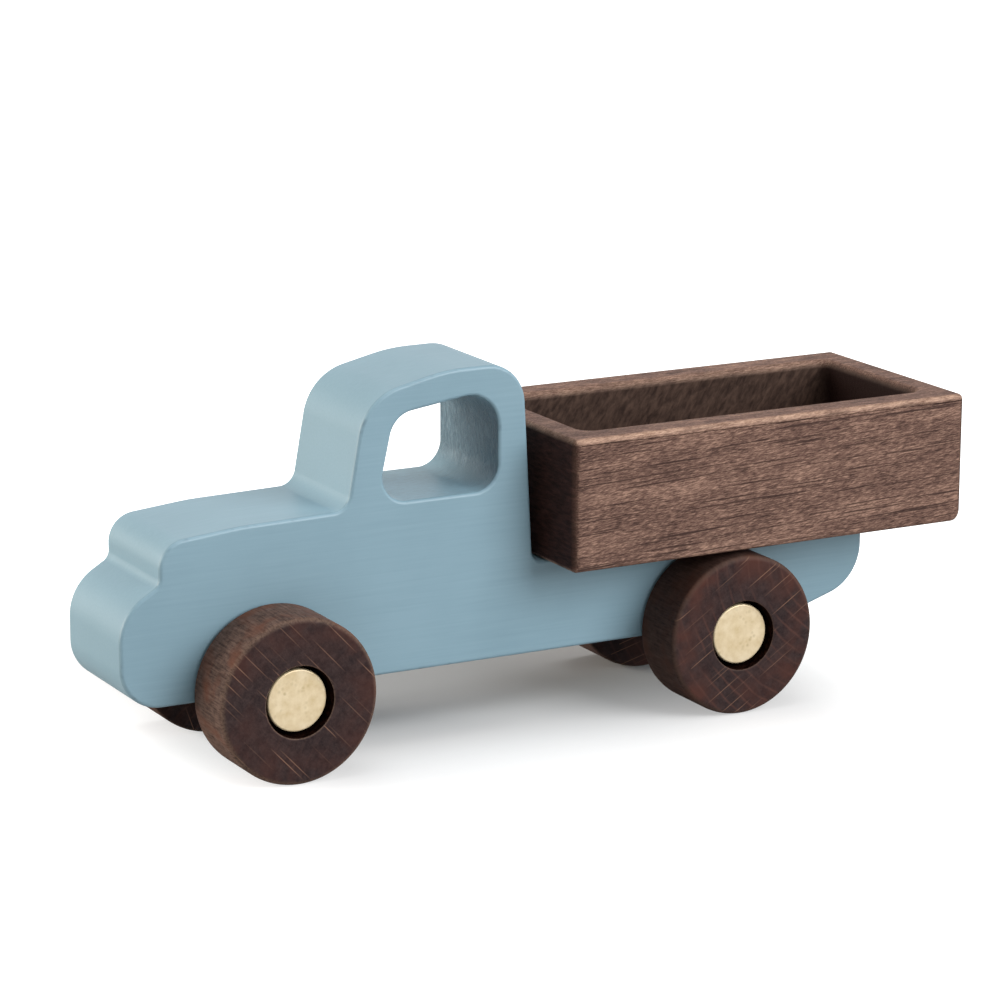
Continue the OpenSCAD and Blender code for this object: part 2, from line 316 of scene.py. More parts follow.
@dataclass(frozen=True)
class StainedBeech:
    """Beech stained brown and oiled, with its grain along X.

    Long grain shows short fibres, long dark pores and tan patches. End grain drinks
    more stain and goes nearly black. The routed hollow is dark and fuzzy, with a
    slanting mottle, and is painted darker still as the shade inside it. The rims are
    rubbed back to tan, partly as a painted highlight. Real fibres are a tenth of a
    millimetre wide, so they are drawn about three times as coarse.
    """

    name: str = "stained_beech"
    deep: str = "#3a2a26"
    brown: str = "#6e544a"
    pale: str = "#a78674"
    end_dark: str = "#20120f"
    end_light: str = "#452c27"
    # The hollow's tones: torn fibres that hold stain, and painted shade.
    routed_dark: str = "#2f221d"
    routed_light: str = "#534138"
    # The arrises' tan: rubbed back wood, and a painted highlight.
    brown_rub_and_highlight: str = "#846452"
    tan_rub_and_highlight: str = "#cba993"
    roughness: float = 0.6
    gloss: float = 0.1
    fibre_mm: Sizes = (2.4, 0.25, 0.25)
    fleck_mm: Sizes = (1.1, 0.22, 0.22)
    band_mm: Sizes = (60.0, 4.0, 4.0)
    patch_mm: Sizes = (9.0, 5.0, 5.0)
    pore_mm: Sizes = (22.0, 0.36, 0.36)
    mottle_mm: Sizes = (2.8, 1.4, 1.1)
    mottle_lean_deg: float = 58.0
    cut_mm: Sizes = (2.0, 3.4, 0.7)
    rub_mm: float = 5.0
    fleck_weight: float = 0.8
    band_weight: float = 0.4
    patch_weight: float = 0.35
    tone_span: Span = (0.99, 1.56)
    pore_span: Span = (0.60, 0.67)
    pore_strength: float = 0.9
    cut_span: Span = (0.35, 0.7)
    mottle_span: Span = (0.34, 0.68)
    rub_span: Span = (0.32, 0.6)
    rub_least: float = 0.35
    rubbed_span: Span = (0.66, 1.06)
    fibre_relief: Span = (0.06, 0.8)
    torn_relief: Span = (0.15, 0.7)

    def build(self) -> bpy.types.Material:
        """Makes the material.

        Returns:
            The stained finish.
        """
        marks = ("rough", "end_grain", "arris")
        made, add, place, rough, across, arris = new_material(self.name, *marks)

        # Fibres, flecks, broad bands, patches and long pores, each stretched along the
        # grain; the torn mottle of the hollow, which slants; and the cut end grain. Each
        # row is a layer's cell, its slope in degrees, and its noise's settings.
        layers = []
        for size_mm, slope_deg, detail, harshness, warp in (
            (self.fibre_mm, 2.0, 3.0, 0.62, 0.4),
            (self.fleck_mm, 14.0, 2.0, 0.62, 0.3),
            (self.band_mm, 1.5, 2.0, 0.62, 0.6),
            (self.patch_mm, 16.0, 3.0, 0.62, 0.4),
            (self.pore_mm, 2.0, 1.0, 0.62, 0.1),
            (self.mottle_mm, self.mottle_lean_deg, 4.0, 0.6, 0.4),
            (self.cut_mm, 0.0, 5.0, 0.7, 0.0),
        ):
            layer_place = add("Mapping", place, **cell(*size_mm, 0.0, slope_deg, 0.0))
            noise = {"Detail": detail, "Roughness": harshness, "Distortion": warp}
            layers.append(add("TexNoise", layer_place, Scale=1.0, **noise))
        fibre, fleck, band, patch, pore, mottle, cut = layers

        fine = add("Math", fleck, self.fleck_weight, fibre, operation="MULTIPLY_ADD")
        tone = fine
        for layer, weight in ((band, self.band_weight), (patch, self.patch_weight)):
            tone = add("Math", layer, weight, tone, operation="MULTIPLY_ADD")
        ramp = add("ValToRGB", add("MapRange", tone, *self.tone_span))
        ramp.color_ramp.elements[0].color = linear(self.deep)
        ramp.color_ramp.elements[1].color = linear(self.pale)
        ramp.color_ramp.elements.new(0.5).color = linear(self.brown)
        pore_line = add("MapRange", pore, *self.pore_span, 0.0, self.pore_strength)

        # The routed hollow holds stain in its torn fibres and is painted darker still as
        # the shade inside it. End grain shows as fine specks, or all dark where it is routed,
        # which is partly painted shade. The arrises are rubbed back to tan, with the fibres
        # still showing, and the tan is partly a painted highlight.
        cut_tone = add("MapRange", cut, *self.cut_span)
        end_tone = add("Math", cut_tone, rough, operation="SUBTRACT", use_clamp=True)
        rub_noise = add("TexNoise", place, Scale=per_metre(self.rub_mm), Detail=4.0)
        rub = add("MapRange", rub_noise, *self.rub_span, self.rub_least, 1.0)
        mottle_tone = add("MapRange", mottle, *self.mottle_span)
        rubbed_tone = add("MapRange", fine, *self.rubbed_span)
        colour = tinted(
            add,
            ramp,
            (self.deep, pore_line),
            (tinted(add, self.routed_dark, (self.routed_light, mottle_tone)), rough),
            (tinted(add, self.end_dark, (self.end_light, end_tone)), across),
            (tinted(add, self.brown_rub_and_highlight, (self.tan_rub_and_highlight, rubbed_tone)), arris, rub),
        )

        torn_height = add("Math", mottle, rough, operation="MULTIPLY")
        close_surface(
            add,
            colour,
            (fine, *self.fibre_relief),
            (torn_height, *self.torn_relief),
            Roughness=self.roughness,
            IOR=1.48,
            Specular_IOR_Level=self.gloss,
        )
        return made


@dataclass(frozen=True)
class StainedEndGrain:
    """A beech wheel cut across the grain, turned, stained dark and oiled.

    Its faces are end grain, nearly black, with thin pale rays in one direction and
    soft growth rings across them. Its tread is long grain, which keeps more of the
    wood's brown. A ray is a tenth of a millimetre wide, so it is drawn twice as coarse.
    """

    name: str
    ray_angle_deg: float
    ring_strength: float
    warmth: float
    # How pale the edge is painted, partly as a highlight, and how much the tread is darkened,
    # partly as painted shade.
    edge_rub_and_highlight: float
    tread_soak_and_shade: float
    seed: float
    face: str = "#281e1f"
    face_pale: str = "#3e3130"
    face_warm: str = "#4f3029"
    ray: str = "#7d5e4e"
    ring: str = "#5f4038"
    tread_dark: str = "#332520"
    tread_pale: str = "#765e53"
    tread_red: str = "#6a4232"
    # The darkened tread: darker stain and painted shade.
    tread_soaked_and_shaded: str = "#2d1b18"
    # The edge's paler tint: rubbed wood and a painted highlight.
    rub_and_highlight: str = "#7b6658"
    roughness: float = 0.62
    gloss: float = 0.1
    ray_cell_mm: Span = (12.0, 2.2)
    ray_scatter: float = 0.85
    ray_width_mm: float = 0.19
    ray_blur: float = 0.4
    ray_reach: Span = (0.12, 0.46)
    ray_draw_span: Span = (0.3, 0.95)
    ray_most: float = 0.95
    ring_gap_mm: float = 2.6
    ring_width_mm: float = 0.38
    ring_wander_mm: float = 1.6
    ring_span: Span = (0.38, 0.58)
    ring_least: float = 0.15
    wander_cell_mm: float = 9.0
    pith_mm: float = 34.0
    mottle_mm: float = 1.5
    mottle_span: Span = (0.36, 0.66)
    mottle_relief: Span = (0.08, 0.6)
    cloud_mm: float = 7.0
    warm_from_mm: float = 9.0
    warm_to_mm: float = 16.5
    warm_least: float = 0.1
    warm_span: Span = (0.40, 0.64)
    fibre_mm: Sizes = (0.45, 5.0, 0.45)
    mottle_weight: float = 0.7
    tread_span: Span = (0.62, 1.12)
    red_span: Span = (0.50, 0.68)
    red_most: float = 0.7
    rub_span: Span = (0.35, 0.65)
    rub_least: float = 0.15

    def build(self) -> bpy.types.Material:
        """Makes the material, for an object whose origin is the wheel's centre.

        Returns:
            The turned and stained finish.
        """
        made, add, place, across, arris = new_material(self.name, "end_grain", "arris")
        # The wheel's own wood: X along the rays, Y across them and Z along the axle.
        ray_turn = math.radians(self.ray_angle_deg)
        turned = add("Mapping", place, Rotation=(QUARTER_TURN, 0.0, ray_turn))

        # Rays: one thin line in most of the long flat cells, each at its own place.
        ray_length, ray_gap = self.ray_cell_mm
        shift = (self.seed, self.seed * 0.7, 0.0)
        ray_place = add("Mapping", turned, Location=shift, **cell(ray_length, ray_gap, ray_length))
        scatter = {"Scale": 1.0, "Randomness": self.ray_scatter}
        ray_cell = add("TexVoronoi", ray_place, voronoi_dimensions="2D", **scatter)
        ray_at = ray_cell.outputs["Position"]
        from_ray = add("VectorMath", ray_place, ray_at, operation="SUBTRACT")
        from_ray = add("SeparateXYZ", add("VectorMath", from_ray, operation="ABSOLUTE"))
        half_width = self.ray_width_mm / 2 / ray_gap
        edges = (half_width * (1 - self.ray_blur), half_width * (1 + self.ray_blur))
        ray_line = add("MapRange", from_ray.outputs["Y"], *edges, 1.0, 0.0)
        ray_ends = add("MapRange", from_ray.outputs["X"], *self.ray_reach, 1.0, 0.0)
        ray_draw = add("SeparateColor", ray_cell.outputs["Color"])
        ray_bright = add("MapRange", ray_draw, *self.ray_draw_span, 0.0, self.ray_most)

        # Rings: arcs about the tree's pith, which lies off the wheel along its rays.
        pith = (self.pith_mm * MM, 0.0, 0.0)
        pith_place = add("Mapping", turned, Location=pith, Scale=(1.0, 1.0, 0.0))
        from_pith = add("VectorMath", pith_place, operation="LENGTH")
        wander = add("TexNoise", place, Scale=per_metre(self.wander_cell_mm), Detail=2.0)
        most = self.ring_wander_mm * MM
        from_pith = add("Math", wander, most, from_pith, operation="MULTIPLY_ADD")
        ring_cycle = add("Math", from_pith, self.ring_gap_mm / 2 * MM, operation="PINGPONG")
        ring_width = self.ring_width_mm * MM
        ring_line = add("MapRange", ring_cycle, 0.0, ring_width, self.ring_strength, 0.0)
        ring_kept = add("MapRange", wander, *self.ring_span, self.ring_least, 1.0)

        # Stain: fine specks over a slow mottle, and a warmer tone towards the rim.
        specks = {"Scale": per_metre(self.mottle_mm), "Detail": 5.0, "Roughness": 0.75}
        mottle = add("TexNoise", turned, **specks)
        cloud = add("TexNoise", turned, Scale=per_metre(self.cloud_mm), Detail=4.0)
        flat = add("VectorMath", place, (1.0, 0.0, 1.0), operation="MULTIPLY")
        from_axle = add("VectorMath", flat, operation="LENGTH")
        start, stop = self.warm_from_mm * MM, self.warm_to_mm * MM
        near_rim = add("MapRange", from_axle, start, stop, self.warm_least, self.warmth)
        face = tinted(
            add,
            self.face,
            (self.face_pale, add("MapRange", mottle, *self.mottle_span)),
            (self.face_warm, near_rim, add("MapRange", cloud, *self.warm_span)),
            (self.ring, ring_line, ring_kept),
            (self.ray, ray_line, ray_ends, ray_bright),
        )

        # Tread: fibres run across it, along the axle, with redder patches, and on some wheels
        # it is darkened, partly darker stain and partly painted shade, most under the box.
        # The rounded edge between it and the face is rubbed a little paler, partly as a
        # painted highlight, strongest on the wheels in the light.
        tread_place = add("Mapping", place, **cell(*self.fibre_mm))
        fibre = add("TexNoise", tread_place, Scale=1.0, Detail=4.0, Roughness=0.65)
        fibre_tone = add("Math", mottle, self.mottle_weight, fibre, operation="MULTIPLY_ADD")
        rub = add("MapRange", fibre, *self.rub_span, self.rub_least, self.edge_rub_and_highlight)
        colour = tinted(
            add,
            self.tread_dark,
            (self.tread_pale, add("MapRange", fibre_tone, *self.tread_span)),
            (self.tread_red, add("MapRange", cloud, *self.red_span, 0.0, self.red_most)),
            (self.tread_soaked_and_shaded, self.tread_soak_and_shade),
            (face, across),
            (self.rub_and_highlight, arris, rub),
        )
        close_surface(
            add,
            colour,
            (mottle, *self.mottle_relief),
            Roughness=self.roughness,
            IOR=1.48,
            Specular_IOR_Level=self.gloss,
        )
        return made


@dataclass(frozen=True)
class DrilledEndGrain:
    """A drilled wall in stained beech: torn, soaked, painted near black as shade, no gleam."""

    name: str = "drilled_end_grain"
    # The near black is soaked stain and painted shade of the hole.
    soaked_and_shaded: str = "#0d0605"
    torn: str = "#2a1812"
    fibre_mm: float = 0.9
    fibre_relief: Span = (0.25, 0.8)
    torn_span: Span = (0.42, 0.72)

    def build(self) -> bpy.types.Material:
        """Makes the material.

        Returns:
            The finish of the recesses.
        """
        made, add, place = new_material(self.name)
        fibre = add("TexNoise", place, Scale=per_metre(self.fibre_mm), Detail=3.0, Roughness=0.65)
        tone = add("MapRange", fibre, *self.torn_span)
        colour = tinted(add, self.soaked_and_shaded, (self.torn, tone))
        relief = (fibre, *self.fibre_relief)
        close_surface(add, colour, relief, Roughness=1.0, IOR=1.48, Specular_IOR_Level=0.0)
        return made


@dataclass(frozen=True)
class GoldPaint:
    """Pale gold paint on a birch peg: a soft metal gleam with small dark pits."""

    name: str = "gold_paint_on_birch"
    gold: str = "#e8d6b4"
    dull: str = "#d4be94"
    pit: str = "#ab9564"
    metallic: float = 0.3
    roughness: float = 0.42
    mottle_mm: float = 2.4
    mottle_relief: Span = (0.04, 0.5)
    dull_span: Span = (0.35, 0.7)
    pit_cell_mm: float = 1.3
    pit_reach: Span = (0.08, 0.4)
    cluster_mm: float = 5.0
    cluster_span: Span = (0.52, 0.70)
    pit_most: float = 0.6

    def build(self) -> bpy.types.Material:
        """Makes the material.

        Returns:
            The gold finish.
        """
        made, add, place = new_material(self.name)
        mottle = add("TexNoise", place, Scale=per_metre(self.mottle_mm), Detail=5.0, Roughness=0.6)
        tone = add("MapRange", mottle, *self.dull_span)
        # The pits come in clusters, where the coat went on thin.
        pit = add("TexVoronoi", place, Scale=per_metre(self.pit_cell_mm))
        pit_dot = add("MapRange", pit, *self.pit_reach, 1.0, 0.0)
        cluster = add("TexNoise", place, Scale=per_metre(self.cluster_mm), Detail=1.0)
        pitted = add("MapRange", cluster, *self.cluster_span, 0.0, self.pit_most)
        colour = tinted(add, self.gold, (self.dull, tone), (self.pit, pit_dot, pitted))
        close_surface(
            add,
            colour,
            (mottle, *self.mottle_relief),
            Roughness=self.roughness,
            Metallic=self.metallic,
            IOR=1.5,
        )
        return made


@dataclass(frozen=True)
class RolledBrass:
    """Brass sheet rolled and brushed along the pin, as on small hinges and screws."""

    name: str = "rolled_brass"
    bright: str = "#dfc07a"
    tarnish: str = "#b4904c"
    roughness: float = 0.34
    brush_mm: Sizes = (0.25, 6.0, 0.25)
    brush_relief: Span = (0.01, 0.5)
    tarnish_span: Span = (0.3, 0.75)

    def build(self) -> bpy.types.Material:
        """Makes the material.

        Returns:
            The metal finish.
        """
        made, add, place = new_material(self.name)
        brushed_place = add("Mapping", place, **cell(*self.brush_mm))
        brushed = add("TexNoise", brushed_place, Scale=1.0, Detail=3.0)
        tone = add("MapRange", brushed, *self.tarnish_span)
        colour = tinted(add, self.bright, (self.tarnish, tone))
        relief = (brushed, *self.brush_relief)
        close_surface(add, colour, relief, Roughness=self.roughness, Metallic=1.0)
        return made


# ---- Outlines and meshes -------------------------------------------------------------


@dataclass(frozen=True)
class Corner:
    """One corner of an outline, in millimetres, with the radius that rounds it."""

    u: float
    v: float
    radius: float


@dataclass(frozen=True)
class RimPoint:
    """A point of a rounded outline, in millimetres, and the way out of the material."""

    u: float
    v: float
    nu: float
    nv: float

    def moved(self, inset: float) -> Span:
        """Gives the point, moved into the material by inset millimetres."""
        return self.u - self.nu * inset, self.v - self.nv * inset


def rounded(corners: Sequence[Corner], step_deg: float, closed: bool = True) -> list[RimPoint]:
    """Rounds an outline whose material lies on its left.

    Args:
        corners: the outline's corners in order.
        step_deg: the turn between two points of a rounded corner.
        closed: whether the last corner joins the first; an open outline's end
            corners are kept as they are.

    Returns:
        The outline's points with their outward normals.
    """
    points: list[RimPoint] = []
    count = len(corners)
    flat = [Vector((c.u, c.v)) for c in corners]
    for i, corner in enumerate(corners):
        if not closed and i in (0, count - 1):
            along = (flat[1] - flat[0]) if i == 0 else (flat[-1] - flat[-2])
            along.normalize()
            points.append(RimPoint(corner.u, corner.v, along.y, -along.x))
            continue
        back = (flat[i - 1] - flat[i]).normalized()
        ahead = (flat[(i + 1) % count] - flat[i]).normalized()
        half = math.acos(max(-1.0, min(1.0, back.dot(ahead)))) / 2
        centre = flat[i] + (back + ahead).normalized() * (corner.radius / math.sin(half))
        start = flat[i] + back * (corner.radius / math.tan(half)) - centre
        turn = math.pi - 2 * half
        left_turn = -back.x * ahead.y + back.y * ahead.x > 0
        outward = 1.0 if left_turn else -1.0
        steps = max(2, math.ceil(math.degrees(turn) / step_deg))
        for k in range(steps + 1):
            angle = outward * turn * k / steps
            spoke = Vector(
                (
                    start.x * math.cos(angle) - start.y * math.sin(angle),
                    start.x * math.sin(angle) + start.y * math.cos(angle),
                )
            )
            at = centre + spoke
            normal = spoke.normalized() * outward
            points.append(RimPoint(at.x, at.y, normal.x, normal.y))
    return points


# What a point can lie on: a rounded edge, end grain, the sill with its painted sheen, a
# rough-cut wall, partly darkened as painted shade, or a thin grey line along an arris.
# Each is kept as a share from 0 to 1.
MARKS = ("arris", "end_grain", "pooled", "rough", "worn")


@dataclass
class Skin:
    """Gathers a mesh point by point, each with its true normal and its marks."""

    points: list[Vector] = field(default_factory=list)
    normals: list[Vector] = field(default_factory=list)
    faces: list[tuple[int, ...]] = field(default_factory=list)
    marks: dict[str, list[float]] = field(default_factory=lambda: {mark: [] for mark in MARKS})

    def add(self, at: Vector, normal: Vector, **marks: float) -> int:
        """Adds a point.

        Args:
            at: its place in millimetres.
            normal: its normal.
            **marks: its share of each mark, and 0 of those that aren't given.

        Returns:
            The point's number.
        """
        self.points.append(at * MM)
        self.normals.append(normal.normalized())
        for name, values in self.marks.items():
            values.append(marks.get(name, 0.0))
        return len(self.points) - 1

    def bridge(self, *rings: Sequence[int]) -> None:
        """Joins each closed ring to the next with quads.

        Args:
            *rings: the rings' point numbers, as many in each.
        """
        for first, second in zip(rings, rings[1:]):
            for i in range(len(first)):
                j = (i + 1) % len(first)
                self.faces.append((first[i], first[j], second[j], second[i]))

    def cap(self, *loops: Sequence[int]) -> None:
        """Fills a flat loop.

        Args:
            *loops: the loop's point numbers, and those of the holes left in it.
        """
        numbers = [n for loop in loops for n in loop]
        for corners in tessellate_polygon([[self.points[n] for n in loop] for loop in loops]):
            self.faces.append(tuple(numbers[c] for c in corners))

    def build(
        self,
        name: str,
        finish: bpy.types.Material,
        origin: Vector | None = None,
        rough_finish: bpy.types.Material | None = None,
    ) -> bpy.types.Object:
        """Makes the object.

        Args:
            name: the piece's name.
            finish: its material.
            origin: where the object's origin goes, in metres; the frame's own if None.
            rough_finish: the material of faces that are rough all over, if they have one.

        Returns:
            The object, in its place.
        """
        base = origin or Vector()
        mesh = bpy.data.meshes.new(name)
        mesh.from_pydata([p - base for p in self.points], [], self.faces)
        turned = [
            sum((self.normals[v] for v in polygon.vertices), Vector()).dot(polygon.normal) < 0
            for polygon in mesh.polygons
        ]
        if any(turned):
            upright = [f[::-1] if flip else f for f, flip in zip(self.faces, turned, strict=True)]
            mesh.clear_geometry()
            mesh.from_pydata([p - base for p in self.points], [], upright)
        mesh.polygons.foreach_set("use_smooth", [True] * len(mesh.polygons))
        mesh.normals_split_custom_set_from_vertices(self.normals)
        for mark, values in self.marks.items():
            if any(values):
                mesh.attributes.new(mark, "FLOAT", "POINT").data.foreach_set("value", values)
        mesh.materials.append(finish)
        if rough_finish:
            mesh.materials.append(rough_finish)
            for polygon in mesh.polygons:
                polygon.material_index = int(
                    all(self.marks["rough"][v] > 0.5 for v in polygon.vertices)
                )
        made = new_object(name, mesh)
        made.location = base
        return made


def new_object(name: str, data: bpy.types.ID) -> bpy.types.Object:
    """Makes an object and links it to the scene.

    Args:
        name: the object's name.
        data: its mesh, light or camera.

    Returns:
        The object.
    """
    made = bpy.data.objects.new(name, data)
    bpy.context.scene.collection.objects.link(made)
    return made


def sweep(start: float, stop: float, steps: int) -> Iterable[float]:
    """Gives evenly spaced values from start to stop, both included."""
    return (start + (stop - start) * k / steps for k in range(steps + 1))


# ---- The truck's pieces --------------------------------------------------------------


@dataclass
class PlankBody:
    """The body: one plank cut to the side view, its arrises sanded round."""

    finish: bpy.types.Material
    width: float = 27.0
    nose_x: float = 97.4
    sill_z: float = 16.0
    pad_z: float = 11.0
    deck_z: float = 36.0
    hood_z: float = 52.1
    window_z: float = 52.6
    roof_z: float = 79.3
    arris_r: float = 0.8
    window_arris_r: float = 0.8
    arris_steps: int = 6
    flat_steps: int = 6
    step_deg: float = 4.0
    axle_stations: Span = (138.1, 33.1)
    pad_top_half: float = 10.0
    pad_top_r: float = 3.0
    pad_foot_half: float = 5.5
    pad_foot_r: float = 3.5
    sawn_least: float = 0.08
    arris_line_deg: float = 75.0
    arris_line_half_deg: float = 15.0

    def pad(self, station: float) -> list[Corner]:
        """Gives the pad of wood that carries an axle.

        Args:
            station: how far the axle lies behind the nose.

        Returns:
            The pad's corners, from rear to front.
        """
        axle_x = self.nose_x - station
        return [
            Corner(axle_x - self.pad_top_half, self.sill_z, self.pad_top_r),
            Corner(axle_x - self.pad_foot_half, self.pad_z, self.pad_foot_r),
            Corner(axle_x + self.pad_foot_half, self.pad_z, self.pad_foot_r),
            Corner(axle_x + self.pad_top_half, self.sill_z, self.pad_top_r),
        ]

    def outline(self) -> list[RimPoint]:
        """Rounds the side view, from the foot of the nose up and back.

        Returns:
            The outer outline in the X-Z plane.
        """
        # Each corner's distance behind the nose, its height and its radius.
        above = [
            (0.0, self.sill_z, 9.0),
            (0.0, 36.2, 11.0),
            (8.9, 41.5, 2.5),
            (8.9, 50.0, 6.0),
            (26.9, 51.65, 60.0),
            (50.9, self.hood_z, 3.8),
            (55.0, 75.1, 12.0),
            (73.9, self.roof_z, 40.0),
            (91.9, self.roof_z, 9.0),
            (94.3, self.deck_z, 2.2),
            (177.3, self.deck_z, 1.1),
            (177.3, 22.0, 11.0),
            (158.3, self.sill_z, 25.0),
        ]
        corners = [Corner(self.nose_x - station, z, r) for station, z, r in above]
        pads = [corner for station in self.axle_stations for corner in self.pad(station)]
        return rounded([*corners, *pads], self.step_deg)

    def window(self) -> list[RimPoint]:
        """Rounds the window, with the body's wood on the outline's left.

        Returns:
            The window's outline in the X-Z plane.
        """
        corners = [
            Corner(self.nose_x - 86.0, self.window_z, 5.5),
            Corner(self.nose_x - 86.0, 74.3, 7.0),
            Corner(self.nose_x - 61.8, 70.9, 6.0),
            Corner(self.nose_x - 57.7, self.window_z, 5.5),
        ]
        return rounded(corners, self.step_deg)

    def wall(
        self, skin: Skin, rim: Sequence[RimPoint], arris_r: float, rough: float
    ) -> list[list[int]]:
        """Adds a wall round an outline, across the plank, with both its arrises.

        Args:
            skin: the mesh that gets it.
            rim: the outline.
            arris_r: radius of the two arrises.
            rough: how rough the wall is where it cuts the grain, from 0 to 1.

        Returns:
            The wall's first and last ring, which lie in the plank's two faces.
        """
        half = self.width / 2
        quarter = sweep(0.0, QUARTER_TURN, self.arris_steps)
        stations = [(angle, half - arris_r * (1 - math.cos(angle))) for angle in quarter]
        flats = sweep(half - arris_r, arris_r - half, self.flat_steps)
        back = [(angle, -y) for angle, y in reversed(stations)]
        rings: list[list[int]] = []
        for angle, y in [*stations, *[(QUARTER_TURN, y) for y in flats][1:-1], *back]:
            rise, slope = math.sin(angle), math.copysign(math.cos(angle), y)
            # A thin grey line runs just inside each arris.
            off_line = abs(math.degrees(angle) - self.arris_line_deg) / self.arris_line_half_deg
            depth = rough * rise**6
            ring = []
            for point in rim:
                u, v = point.moved(arris_r * (1 - rise))
                # The sill's share is a painted sheen, and the rough share darkens the cut walls,
                # partly as painted shade.
                marks = {
                    "arris": math.sin(2 * angle),
                    "worn": max(0.0, 1 - off_line),
                    "pooled": depth * max(0.0, point.nv) ** 4,
                    "rough": depth * (self.sawn_least + (1 - self.sawn_least) * point.nu**2),
                }
                normal = Vector((point.nu * rise, slope, point.nv * rise))
                ring.append(skin.add(Vector((u, y, v)), normal, **marks))
            rings.append(ring)
        skin.bridge(*rings)
        return [rings[0], rings[-1]]

    def build(self) -> bpy.types.Object:
        """Builds the body and lets it stand for its CAD node.

        Returns:
            The body.
        """
        skin = Skin()
        outer = self.wall(skin, self.outline(), self.arris_r, 0.0)
        inner = self.wall(skin, self.window(), self.window_arris_r, 1.0)
        for rim, hole in zip(outer, inner, strict=True):
            skin.cap(rim, hole)
        made = skin.build("plank_body", self.finish)
        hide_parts("truck_body")
        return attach(made, "truck")


@dataclass
class HollowBox:
    """The load box: one block, hollowed from above, with its rims rubbed round."""

    finish: bpy.types.Material
    front_x: float = 0.6
    rear_x: float = -97.4
    half_width: float = 26.5
    foot_z: float = 36.0
    rim_z: float = 64.5
    floor_z: float = 44.0
    side_wall: float = 8.0
    end_wall: float = 7.0
    pocket_r: float = 2.5
    arris_r: float = 1.0
    top_arris_r: float = 1.3
    upright_arris_r: float = 1.6
    pocket_arris_r: float = 1.8
    foot_r: Span = (1.0, 2.5)
    fillet_r: float = 2.0
    arris_steps: int = 6
    fillet_steps: int = 5
    outline_step_deg: float = 10.0
    pocket_step_deg: float = 9.0
    foot_rub: float = 0.1
    # How much the ends' corners are painted tan: wear, and a painted highlight.
    corner_rub_and_highlight: float = 0.55
    pocket_rub: Span = (0.35, 0.1)
    end_soak: float = 3.0

    def shell(self, skin: Skin) -> list[int]:
        """Adds the outside: the side view swept across, its top left open.

        Args:
            skin: the mesh that gets it.

        Returns:
            The four points round the open top.
        """
        rim = rounded(
            [
                Corner(self.front_x, self.foot_z, self.foot_r[0]),
                Corner(self.front_x, self.rim_z, self.top_arris_r),
                Corner(self.rear_x, self.rim_z, self.top_arris_r),
                Corner(self.rear_x, self.foot_z, self.foot_r[1]),
            ],
            self.outline_step_deg,
        )
        top = [i for i, point in enumerate(rim) if math.isclose(point.nv, 1.0)]
        quarter = list(sweep(0.0, QUARTER_TURN, self.arris_steps))
        rings: list[list[int]] = []
        for sign, angle in [*((1.0, a) for a in quarter), *((-1.0, a) for a in quarter[::-1])]:
            rise = math.sin(angle)
            ring = []
            for point in rim:
                # The arrises round the top are rubbed paler than the others, partly as a painted
                # highlight, and the corners of the ends get more of it; the upright ones at the
                # ends are the roundest.
                top_share = max(0.0, point.nv)
                arris_r = self.arris_r + (self.top_arris_r - self.arris_r) * top_share
                arris_r += (self.upright_arris_r - self.arris_r) * point.nu**2
                u, v = point.moved(arris_r * (1 - rise))
                y = sign * (self.half_width - arris_r * (1 - math.cos(angle)))
                normal = Vector((point.nu * rise, sign * math.cos(angle), point.nv * rise))
                side_rub = math.sin(2 * angle) * (self.foot_rub + (1 - self.foot_rub) * top_share)
                end_rub = self.corner_rub_and_highlight * abs(2 * point.nu * point.nv) * rise
                marks = {
                    "arris": max(side_rub, end_rub),
                    "end_grain": min(1.0, self.end_soak * normal.x**2),
                }
                ring.append(skin.add(Vector((u, y, v)), normal, **marks))
            rings.append(ring)
        skin.bridge(*rings)
        skin.cap(rings[0])
        skin.cap(rings[-1])
        near, far = rings[self.arris_steps], rings[self.arris_steps + 1]
        open_top = {near[top[0]], near[top[1]], far[top[0]], far[top[1]]}
        skin.faces = [f for f in skin.faces if set(f) != open_top]
        return [near[top[0]], near[top[1]], far[top[1]], far[top[0]]]

    def pocket(self, skin: Skin, open_top: Sequence[int]) -> None:
        """Adds the hollow and the rim's flat top round it.

        Args:
            skin: the mesh that gets them.
            open_top: the four points round the open top.
        """
        front, rear = self.front_x - self.end_wall, self.rear_x + self.end_wall
        side = self.half_width - self.side_wall
        corners = ((front, side), (front, -side), (rear, -side), (rear, side))
        rim = rounded([Corner(x, y, self.pocket_r) for x, y in corners], self.pocket_step_deg)
        # Each ring's inset, height, how far its normals point up, and its arris mark.
        levels = [
            (
                self.pocket_arris_r * (1 - math.sin(angle)),
                self.rim_z - self.pocket_arris_r * (1 - math.cos(angle)),
                math.cos(angle),
                math.sin(2 * angle),
            )
            for angle in sweep(0.0, QUARTER_TURN, self.arris_steps)
        ] + [
            (
                -self.fillet_r * (1 - math.cos(angle)),
                self.floor_z + self.fillet_r * (1 - math.sin(angle)),
                math.sin(angle),
                0.0,
            )
            for angle in sweep(0.0, QUARTER_TURN, self.fillet_steps)
        ]
        side_rub, end_rub = self.pocket_rub
        rings: list[list[int]] = []
        for inset, z, up, arris in levels:
            level = math.sqrt(max(0.0, 1 - up**2))
            ring = []
            for point in rim:
                # The rough share darkens the hollow's walls: routed fibres, and painted shade
                # inside the hollow.
                marks = {
                    "arris": arris * (side_rub - (side_rub - end_rub) * point.nu**2),
                    "end_grain": (point.nu * level) ** 2,
                    "rough": level**4,
                }
                normal = Vector((point.nu * level, point.nv * level, up))
                ring.append(skin.add(Vector((*point.moved(inset), z)), normal, **marks))
            rings.append(ring)
        skin.bridge(*rings)
        skin.cap(open_top, rings[0])
        skin.cap(rings[-1])

